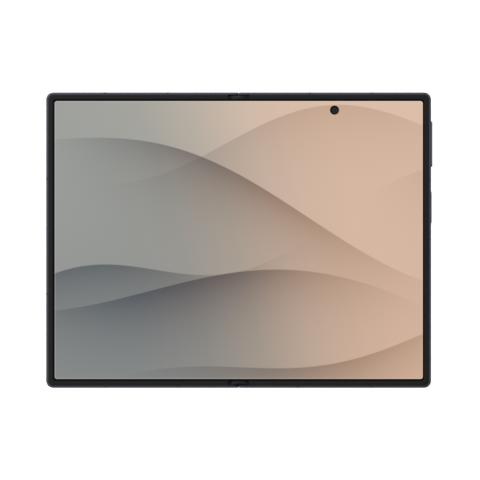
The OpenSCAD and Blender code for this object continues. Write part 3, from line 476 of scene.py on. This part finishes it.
OPTIC_BLACK = (0.0012, 0.0012, 0.0015, 1)
BASE_TONES = [rgb(158, 160, 156), rgb(164, 163, 157), rgb(184, 174, 162), rgb(207, 185, 168),
              rgb(219, 189, 168)]
DUSK_TONES = [rgb(112, 118, 122), rgb(150, 132, 118), rgb(206, 170, 146)]
FOLD_TONES = [rgb(58, 68, 80), rgb(104, 92, 88), rgb(160, 124, 98)]
DUNES = [  # level, slope, swing, waves, phase, fall, depth, where it is deepest
    (0.66, 0.06, 0.22, 2.2, 0.2, 0.42, 0.40, 0.6),
    (0.30, -0.30, 0.20, 1.8, 2.3, 0.30, 0.86, 1.5),
    (-0.04, 0.28, 0.17, 2.6, 4.6, 0.36, 0.70, 3.4),
    (-0.40, -0.10, 0.24, 1.5, 0.9, 0.26, 0.92, 1.9),
    (-0.86, 0.20, 0.10, 2.4, 3.1, 0.26, 0.70, 0.4),
]


def screen_material():
    """The lit screen: soft dunes, sage on the left and peach on the right, slate in the folds,
    inside a black border with a fine bright rim. A dune's crest is level + slope x + swing
    sin(waves x + phase), with y from -1 to 1 up the screen, and its shade dies away below the
    crest as exp(-depth below it / fall)."""
    net = Net("screen_lit")
    u, v, _ = net.split(net.node("ShaderNodeUVMap", {"uv_map": "screen"}))
    x = (u - 0.5) * (2 * edge_x / edge_y)
    y = (v - 0.5) * 2.0
    warmth = net.ramp(x + y * 0.3, -1.1, 1.0)
    fold_shade = net.palette(warmth, FOLD_TONES)
    image = net.blend(net.ramp(y, 0.9, -1.1) * 0.45, net.palette(warmth, BASE_TONES),
                      net.palette(warmth, DUSK_TONES))
    for level, slope, swing, waves, phase, fall, depth, deepest in DUNES:
        crest = level + slope * x + swing * net.maths("SINE", x * waves + phase)
        below = crest - y
        edge = net.ramp(below, 0.0, 0.008)
        soft = net.maths("EXPONENT", net.maths("MAXIMUM", below, 0.0) * (-1 / fall))
        lean = 0.5 + 0.5 * net.maths("SINE", x * 1.9 + deepest)
        image = net.blend(edge * soft * lean * depth, image, fold_shade)
    across, up = (u - 0.5) * (2 * edge_x), (v - 0.5) * (2 * edge_y)
    inside = net.box_distance(across - ACTIVE_SHIFT_X, up - ACTIVE_SHIFT_Y,
                              ACTIVE_X, ACTIVE_Y, ACTIVE_R)
    image = net.blend(net.ramp(inside, RIM_IN, RIM_OUT) * RIM_GAIN, image, rgb(255, 250, 244))
    lit = (net.ramp(inside, LIT_SOFT, -LIT_SOFT)
           * net.ramp(net.around(across, up, (camera_x, camera_y)), UNLIT_R, LIT_R))
    image = net.blend(lit, rgb(1, 1, 1), image)
    vector, _ = net.place()
    fine = net.noise(vector, 900)
    return net.finish(Base_Color=net.blend(fine, (0.001, 0.001, 0.001, 1),
                                           (0.002, 0.002, 0.002, 1)),
                      Roughness=0.07 + fine * 0.03, IOR=1.2,
                      Emission_Color=image, Emission_Strength=1.0)


def cover_glass_material():
    """Glossy black glass: the unlit cover screen shows as a faintly lighter field, with the
    camera's opening near the top."""
    net = Net("cover_glass_black")
    vector, (x, y, _) = net.place()
    middle = middle_of("cover_display")
    half = np.array(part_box("cover_display")[1]) - middle
    field = net.box_distance(x - middle[0], y - middle[1], half[0] - MM, half[1] - MM,
                             COVER_CORNER_R)
    ring = net.around(x, y, middle_of("cover_camera")[:2])
    panel = net.blend(net.ramp(field, *COVER_EDGE), (0.002, 0.002, 0.0025, 1),
                      (0.008, 0.0085, 0.0105, 1))
    panel = net.blend(net.ramp(ring, *COVER_EYE), panel, OPTIC_BLACK)
    panel = net.blend(net.ramp(ring, *COVER_PUPIL), panel, (0.006, 0.009, 0.022, 1))
    return net.finish(Base_Color=panel, Roughness=0.05 + net.noise(vector, 700) * 0.03, IOR=1.4)


def rear_glass_material():
    """Etched slate glass: satin, with a slow drift of tone and a fine sparkle."""
    net = Net("rear_glass_frosted")
    vector, _ = net.place()
    fine = net.noise(vector, 9000, 1.0)
    drift = net.noise(vector, 14)
    return net.finish(Base_Color=net.blend(drift, rgb(52, 54, 62), rgb(64, 66, 75)),
                      Roughness=0.38 + fine * 0.1, Metallic=0.25 + drift * 0.1,
                      Normal=net.bump(fine, 1.2e-6))


def turned_metal(name, colour, centres, pitch):
    """Metal with fine rings about each of some centres."""
    net = Net(name)
    vector, (x, y, _) = net.place()
    rings = net.wave(net.around(x, y, *centres), pitch) * 0.5 + 0.5
    fine = net.noise(vector, 5000)
    return net.finish(Base_Color=net.blend(rings * 0.5 + fine * 0.5, *shades(colour, 0.12)),
                      Metallic=1.0, Roughness=0.24 + fine * 0.1, Normal=net.bump(rings, 2e-6))


def optic_material(centres):
    """Rear optics: black glass with the rings of the barrel inside and a coated front element."""
    net = Net("rear_optics")
    vector, (x, y, _) = net.place()
    radius = net.around(x, y, *centres)
    barrel = net.wave(radius, BARREL_PITCH) * 0.5 + 0.5
    glow = net.noise(vector, 260, 1.0)
    tone = net.blend(barrel * 0.6, (0.002, 0.002, 0.0022, 1), (0.014, 0.014, 0.016, 1))
    tone = net.blend(net.ramp(radius, *FRONT_ELEMENT), tone, (0.004, 0.007, 0.02, 1))
    tone = net.blend(net.ramp(radius, *COATING) * glow, tone, (0.03, 0.05, 0.13, 1))
    return net.finish(Base_Color=tone, Roughness=0.04 + barrel * 0.02, Coat_Weight=0.6 + glow * 0.2)


def flash_material(centre):
    """Flash window: warm diffuser with the rings of its lens."""
    net = Net("flash_window")
    _, (x, y, _) = net.place()
    radius = net.around(x, y, centre)
    rings = net.wave(radius, FLASH_PITCH) * 0.5 + 0.5
    core = net.ramp(radius, *FLASH_CORE)
    return net.finish(Base_Color=net.blend(core, rgb(214, 214, 206), rgb(232, 206, 110)),
                      Roughness=0.2 + rings * 0.15, Normal=net.bump(rings, 1.2e-5))


def board_material():
    """Circuit board: green mask over fine runs of copper."""
    net = Net("board_mask")
    vector, _ = net.place()
    runs = net.node("ShaderNodeTexBrick", {"offset": 0.37, "squash": 1.6},
                    {"Vector": vector, "Scale": 420.0, "Mortar Size": 0.012,
                     "Color1": (0, 0, 0, 1), "Color2": (0.1, 0.1, 0.1, 1),
                     "Mortar": (1, 1, 1, 1)})
    tone = net.blend(runs, (0.006, 0.045, 0.022, 1), (0.02, 0.12, 0.055, 1))
    return net.finish(Base_Color=tone, Roughness=0.3 + net.noise(vector, 1500) * 0.12,
                      Normal=net.bump(runs, 1.5e-5))


def port_material():
    """Charging socket: steel shell, dark tongue, and gold contacts across both of its faces."""
    net = Net("port_shell")
    vector, (x, y, z) = net.place()
    middle = middle_of("usb_c_port")
    across = x - middle[0]
    fine = net.noise(vector, 2400, 3.0, (1.0, 0.2, 1.0))
    tongue = net.ramp(net.box_distance(across, z - middle[2], *TONGUE), *TONGUE_EDGE)
    contact = (net.ramp(net.wave(across, CONTACT_PITCH), -0.1, 0.1)
               * net.ramp(net.size(across), *CONTACT_SPAN)
               * net.ramp(y + edge_y, *CONTACT_START))
    steel = net.blend(fine, *shades(rgb(164, 166, 172), 0.08))
    tip = net.blend(contact, rgb(24, 24, 26), rgb(204, 168, 96))
    return net.finish(Base_Color=net.blend(tongue, steel, tip), Roughness=0.27 + fine * 0.06,
                      Metallic=1 - tongue * (1 - contact), Normal=net.bump(fine, 1e-6))


def battery_material():
    """Battery pouch: dark foil with soft wrinkles."""
    net = Net("battery_foil")
    vector, _ = net.place()
    wrinkle = net.noise(vector, 120, 4.0, (1.0, 2.2, 1.0))
    tone = net.blend(wrinkle, (0.010, 0.010, 0.012, 1), (0.030, 0.031, 0.035, 1))
    return net.finish(Base_Color=tone, Roughness=0.3 + wrinkle * 0.25,
                      Normal=net.bump(wrinkle, 6e-5))


def inner_camera_material():
    """Inner camera: black ring, dark grey stop and a small blue-black lens."""
    net = Net("inner_camera_optics")
    vector, (x, y, _) = net.place()
    radius = net.around(x, y, (camera_x, camera_y))
    tone = net.blend(net.ramp(radius, *EYE_STOP), OPTIC_BLACK, (0.021, 0.021, 0.022, 1))
    tone = net.blend(net.ramp(radius, *EYE_LENS), tone, (0.010, 0.014, 0.028, 1))
    return net.finish(Base_Color=tone, Roughness=0.25 + net.noise(vector, 2500) * 0.1, IOR=1.3)


# ---------------------------------------------------------------- finishes on the CAD nodes
def dress(material, *nodes):
    """Gives a material to CAD nodes."""
    for name in nodes:
        slots = frame["nodes"][name].material_slots
        if slots:
            for slot in slots:
                slot.material = material
        else:
            frame["nodes"][name].data.materials.append(material)


dress(metal("rail_slate", rgb(96, 97, 107), rough=0.42), "left_frame", "right_frame", "card_tray")
# The keys are the rails' own metal. Their lighter colours are painted highlight, standing in for
# the light that their tops catch, and the rocker is painted lighter than the side key.
dress(metal("key_slate", rgb(128, 130, 144), rough=0.36), "volume_rocker")
dress(metal("side_key_slate", rgb(106, 107, 119), rough=0.4), "side_key")
dress(metal("hinge_dark", rgb(58, 60, 72), rough=0.36), "hinge_cover")
dress(metal("island_slate", rgb(70, 72, 82), rough=0.34), "camera_island")
dress(plastic("cap_black", rgb(43, 43, 44), rough=0.75, specular=0.1), "hinge_caps")
dress(plastic("antenna_navy", rgb(36, 37, 48), rough=0.55),
      "left_antenna_strips", "right_antenna_strips")
dress(metal("steel_brushed", rgb(188, 188, 190), rough=0.3, stretch=(1.0, 0.04, 1.0),
            grain=2600, depth=2e-6),
      "hinge_arms_left", "hinge_arms_right", "wing_plate_left", "wing_plate_right",
      "hinge_bases", "centre_plate", "tray_reader")
dress(metal("steel_polished", rgb(200, 200, 204), rough=0.18, grain=1200, depth=5e-7),
      "hinge_pins", "idler_pins", "friction_washers", "base_screws", "arm_screws_left",
      "arm_screws_right", "idler_gears_left", "idler_gears_right")
dress(metal("plate_milled", rgb(176, 178, 184), rough=0.34, stretch=(0.05, 1.0, 1.0),
            grain=1800, depth=2e-6),
      "left_midplate", "right_midplate")
dress(metal("shield_tinned", rgb(170, 172, 176), rough=0.4, grain=300, depth=6e-6),
      "board_shields")
dress(metal("coil_copper", rgb(196, 122, 78), rough=0.3, grain=3000, depth=3e-6),
      "charging_coil")
dress(metal("contact_gold", rgb(214, 172, 96), rough=0.28, grain=4000, depth=1e-6),
      "side_switches")
dress(metal("motor_can", rgb(150, 152, 156), rough=0.35, stretch=(1.0, 0.1, 1.0), grain=1500,
            depth=2e-6), "vibration_motor")
dress(plastic("module_black", rgb(26, 26, 28), rough=0.45),
      "earpiece", "loudspeaker", "rear_cameras", "cover_camera")
dress(plastic("panel_black", rgb(10, 10, 12), rough=0.2), "cover_display")
dress(port_material(), "usb_c_port")
dress(board_material(), "left_board", "main_board", "port_board")
dress(battery_material(), "left_battery", "right_battery")
dress(cover_glass_material(), "cover_glass")
dress(rear_glass_material(), "rear_glass")
dress(turned_metal("lens_ring_turned", rgb(112, 114, 126), lens_centres, LENS_RING_PITCH),
      "lens_rings")
dress(flash_material(middle_of("flash_led")[:2]), "flash_led")


def paint(piece, material):
    """Gives a material to a new piece."""
    piece.data.materials.append(material)
    return piece


# ---------------------------------------------------------------- screen and bezels
bezel_plastic = plastic("bezel_black", rgb(28, 28, 29), rough=0.58, specular=0.2)
screen = screen_material()
for side, name in ((-1, "left"), (1, "right")):
    rim = paint(bezel(f"{name}_bezel_rim", side), bezel_plastic)
    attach(rim, f"{name}_half")
    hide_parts(f"{name}_bezel")
    sheet = paint(flat_stretch(f"screen_{name}", side), screen)
    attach(sheet, f"{name}_half")
    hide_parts(f"display_{name}")
    strip = paint(bending_stretch(f"screen_fold_{name}", side), screen)
    side * (wing_x - BEND)
    side * (wing_x + BEND)
    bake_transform(strip)
    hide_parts("display_fold")

# ---------------------------------------------------------------- inner camera
eye_low = side_of("inner_camera", 2, False)
eye_r = CAMERA_HOLE_R - EYE_WALL
eye_front = [(radius * MM, film_top - depth * MM) for radius, depth in EYE_FRONT]
eye = turned("inner_camera_eye", eye_front + [
    (eye_r, film_top - EYE_EDGE), (eye_r, film_low), (EYE_SEAT_R, film_low),
    (EYE_SEAT_R, eye_low), (0.0, eye_low)], (camera_x, camera_y), flip=True)
paint(eye, inner_camera_material())
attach(eye, "right_half")
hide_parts("inner_camera")

# ---------------------------------------------------------------- rear optics
glass_low, glass_high = (corner[2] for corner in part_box("lens_glass"))
glass_r = half_width("lens_glass")
lens_front = [(radius * MM, glass_low + depth * MM) for radius, depth in LENS_FRONT]
optics = optic_material(lens_centres)
for name, centre in zip(("upper", "lower"), lens_centres):
    lens = turned(f"rear_lens_{name}", lens_front + [
        (glass_r - LENS_BEVEL[0], glass_low), (glass_r, glass_low + LENS_BEVEL[1]),
        (glass_r, glass_high), (0.0, glass_high)], centre)
    paint(lens, optics)
    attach(lens, "right_half")
    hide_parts("lens_glass")

# ---------------------------------------------------------------- floor, light and camera
FLOOR_HALF = 6.0
FLOOR_GLOW = 0.93
FLOOR_TONE = (0.8, 0.8, 0.8, 1)
SEAM_HALF = (0.08 * MM, 0.5 * MM)      # floor under each end of the seam that doesn't glow
SEAM_IN = 0.4 * MM
LOW, HIGH = 0.15, 0.98                 # heights between which the surroundings change
HORIZON, ZENITH, LEAN, DARKEST = 0.7, 0.43, 0.74, 0.04
LAMP_PLACE, LAMP_AIM = (-0.8, 0.8, 0.75), (0, 0, 0.005)
LAMP_SIZE, LAMP_POWER = 0.9, 9
FIELD = 201.06 * MM                    # width seen at the height of the bezel's top
LENS = 200.0
VIEW_X, VIEW_Y = 0.61 * MM, 0.04 * MM


def make_floor():
    """Plain white floor under the phone that keeps a faint shadow."""
    corners = np.array([(-1, -1, 0), (1, -1, 0), (1, 1, 0), (-1, 1, 0)], float) * FLOOR_HALF
    floor = mesh_of("floor", corners, np.array([(0, 1, 2, 3)]))
    net = Net("floor_white")
    rays = net.node("ShaderNodeLightPath").socket.node.outputs
    camera, glossy, passed = (Value(net, rays[k]) for k in
                              ("Is Camera Ray", "Is Glossy Ray", "Is Transmission Ray"))
    _, (x, y, _) = net.place()
    seam_end = net.box_distance(x, net.size(y) - (edge_y - SEAM_IN), *SEAM_HALF, 0.01 * MM)
    seen = (net.maths("MAXIMUM", camera, net.maths("MAXIMUM", glossy, passed))
            * net.ramp(seam_end, 0.0, 0.02 * MM))
    matt = net.node("ShaderNodeBsdfDiffuse", None, {"Color": FLOOR_TONE})
    glow = net.node("ShaderNodeEmission", None, {"Color": (1, 1, 1, 1), "Strength": FLOOR_GLOW})
    bright = net.node("ShaderNodeAddShader", None, {0: matt, 1: glow})
    mixed = net.node("ShaderNodeMixShader", None, {0: seen, 1: matt, 2: bright})
    net.put(net.tree.nodes["Material Output"].inputs["Surface"], mixed)
    net.tree.nodes.remove(net.shader)
    paint(floor, net.block)


def make_world():
    """Soft surroundings: brighter towards the horizon than overhead, and from the top left."""
    net = Net("surroundings", world=True)
    vector = net.node("ShaderNodeTexCoord", output="Generated")
    tone = net.node("ShaderNodeMapRange", None,
                    {"Value": net.split(vector)[2], "From Min": LOW, "From Max": HIGH,
                     "To Min": HORIZON, "To Max": ZENITH})
    lean = net.node("ShaderNodeVectorMath", {"operation": "DOT_PRODUCT"},
                    {0: vector, 1: (-LEAN, LEAN, 0)}, output="Value")
    bpy.context.scene.world = net.finish(Color=(1, 1, 1, 1),
                                         Strength=net.maths("MAXIMUM", tone + lean, DARKEST))


def make_lamp():
    """A square soft light that faces the phone."""
    light = bpy.data.lights.new("soft_key", "AREA")
    light.shape, light.size, light.energy = "SQUARE", LAMP_SIZE, LAMP_POWER
    lamp = bpy.data.objects.new("soft_key", light)
    bpy.context.scene.collection.objects.link(lamp)
    lamp.location = LAMP_PLACE
    away = np.array(LAMP_PLACE) - LAMP_AIM
    lamp.rotation_euler = (0, math.acos(away[2] / np.linalg.norm(away)),
                           math.atan2(away[1], away[0]))


def make_camera():
    """The camera looks straight down from above the middle of the screen."""
    camera = bpy.data.cameras.new("camera")
    camera.lens = LENS
    camera.clip_end = 20
    viewer = bpy.data.objects.new("camera", camera)
    bpy.context.scene.collection.objects.link(viewer)
    viewer.location = (VIEW_X, VIEW_Y, bezel_top + FIELD * LENS / camera.sensor_width)
    bpy.context.scene.camera = viewer


make_floor()
make_world()
make_lamp()
make_camera()
bpy.context.scene.view_settings.view_transform = "Standard"
